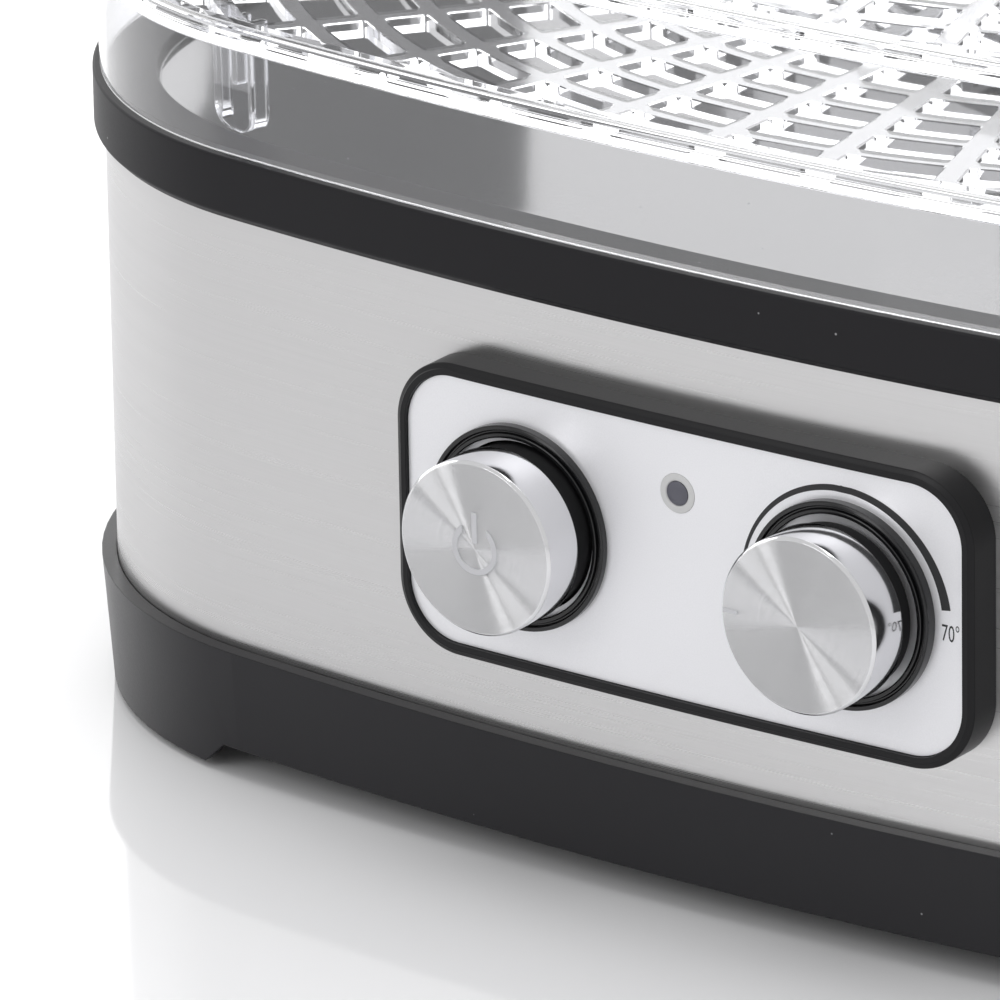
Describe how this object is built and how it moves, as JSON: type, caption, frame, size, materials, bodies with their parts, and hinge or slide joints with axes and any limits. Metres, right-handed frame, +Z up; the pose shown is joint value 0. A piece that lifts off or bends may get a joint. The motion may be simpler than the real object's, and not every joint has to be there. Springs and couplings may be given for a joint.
{
  "type": "food dehydrator",
  "caption": "Electric food dehydrator: oval fan-heated base with push button and thermostat knob, stacking clear slotted trays and a vented clear lid.",
  "frame": {"origin": "centre of the whole object's bounding box, on the surface it stands on", "axes": "+Z up, control panel faces -Y, +X to the right as seen by someone facing the panel"},
  "size_m": [0.3988, 0.3647, 0.2896],
  "materials": {
    "housing_plastic": "matte black moulding",
    "rim_plastic": "satin black moulding",
    "steel": "brushed",
    "grille_plastic": "matte",
    "rubber": "soft",
    "screw_steel": "zinc plated",
    "label": "blank label",
    "bezel_plastic": "satin black",
    "panel_silver": "satin silver paint",
    "ring_plastic": "black",
    "knob_metal": "turned face, polished side",
    "knob_plastic": "black",
    "mark_ink": "dark grey fill",
    "lamp_clear": "smoked lens",
    "lamp_bezel": "pale ring",
    "switch_plastic": "black",
    "board_green": "circuit board",
    "galvanised": "galvanised sheet",
    "motor_steel": "laminated steel",
    "shaft_steel": "ground",
    "fan_plastic": "nylon",
    "mica": "mica board",
    "coil_wire": "resistance wire",
    "fuse_body": "cased",
    "terminal_plastic": "cream",
    "clear_plastic": "clear moulded plastic"
  },
  "bodies": {
    "base": {"base_housing": "housing_plastic", "steel_band": "steel", "top_deck": "rim_plastic", "air_grille": "grille_plastic", "intake_grille": "grille_plastic", "rubber_pads": "rubber", "housing_screws": "screw_steel", "grille_screws": "screw_steel", "bracket_screws": "screw_steel", "clamp_screws": "screw_steel", "rating_plate": "label", "control_bezel": "bezel_plastic", "control_panel": "panel_silver", "knob_rings": "ring_plastic", "power_switch": "switch_plastic", "thermostat_body": "switch_plastic", "lamp_lens": "lamp_clear", "lamp_ring": "lamp_bezel", "lamp_board": "board_green", "motor_bracket": "galvanised", "fan_motor": "motor_steel", "heater_duct": "galvanised", "heater_plates": "mica", "heater_coil": "coil_wire", "thermal_fuse": "fuse_body", "cord_gland": "rubber", "cord_clamp": "switch_plastic", "terminal_block": "terminal_plastic"},
    "power_button": {"power_button_cap": "knob_metal", "power_button_core": "knob_plastic", "power_symbol": "mark_ink"},
    "thermostat_knob": {"thermostat_knob_cap": "knob_metal", "thermostat_knob_core": "knob_plastic", "thermostat_pointer": "mark_ink", "thermostat_shaft": "shaft_steel"},
    "fan": {"motor_shaft": "shaft_steel", "fan_impeller": "fan_plastic"},
    "tray_1": {"tray_1_skirt": "clear_plastic", "tray_1_grid": "clear_plastic", "tray_1_legs": "clear_plastic"},
    "tray_2": {"tray_2_skirt": "clear_plastic", "tray_2_grid": "clear_plastic", "tray_2_legs": "clear_plastic"},
    "tray_3": {"tray_3_skirt": "clear_plastic", "tray_3_grid": "clear_plastic", "tray_3_legs": "clear_plastic"},
    "tray_4": {"tray_4_skirt": "clear_plastic", "tray_4_grid": "clear_plastic", "tray_4_legs": "clear_plastic"},
    "tray_5": {"tray_5_skirt": "clear_plastic", "tray_5_grid": "clear_plastic", "tray_5_legs": "clear_plastic"},
    "lid": {"lid_wall": "clear_plastic", "lid_plate": "clear_plastic"}
  },
  "joints": [
    {"name": "power_button_press", "type": "slide", "parent": "base", "child": "power_button", "axis": [0, 1, 0], "range_m": [0, 0.003], "stiffness_N_per_m": 400},
    {"name": "thermostat_turn", "type": "hinge", "parent": "base", "child": "thermostat_knob", "pos_m": [0.03825, -0.16775, 0.0755], "axis": [0, 1, 0], "range_deg": [0, 180]},
    {"name": "fan_spin", "type": "hinge", "parent": "base", "child": "fan", "pos_m": [0, 0.00875, 0.07], "axis": [0, 0, 1], "continuous": true},
    {"name": "tray_1_lift", "type": "slide", "parent": "base", "child": "tray_1", "axis": [0, 0, 1], "range_m": [0, 0.12]},
    {"name": "tray_2_lift", "type": "slide", "parent": "tray_1", "child": "tray_2", "axis": [0, 0, 1], "range_m": [0, 0.12]},
    {"name": "tray_3_lift", "type": "slide", "parent": "tray_2", "child": "tray_3", "axis": [0, 0, 1], "range_m": [0, 0.12]},
    {"name": "tray_4_lift", "type": "slide", "parent": "tray_3", "child": "tray_4", "axis": [0, 0, 1], "range_m": [0, 0.12]},
    {"name": "tray_5_lift", "type": "slide", "parent": "tray_4", "child": "tray_5", "axis": [0, 0, 1], "range_m": [0, 0.12]},
    {"name": "lid_lift", "type": "slide", "parent": "tray_5", "child": "lid", "axis": [0, 0, 1], "range_m": [0, 0.12]}
  ]
}
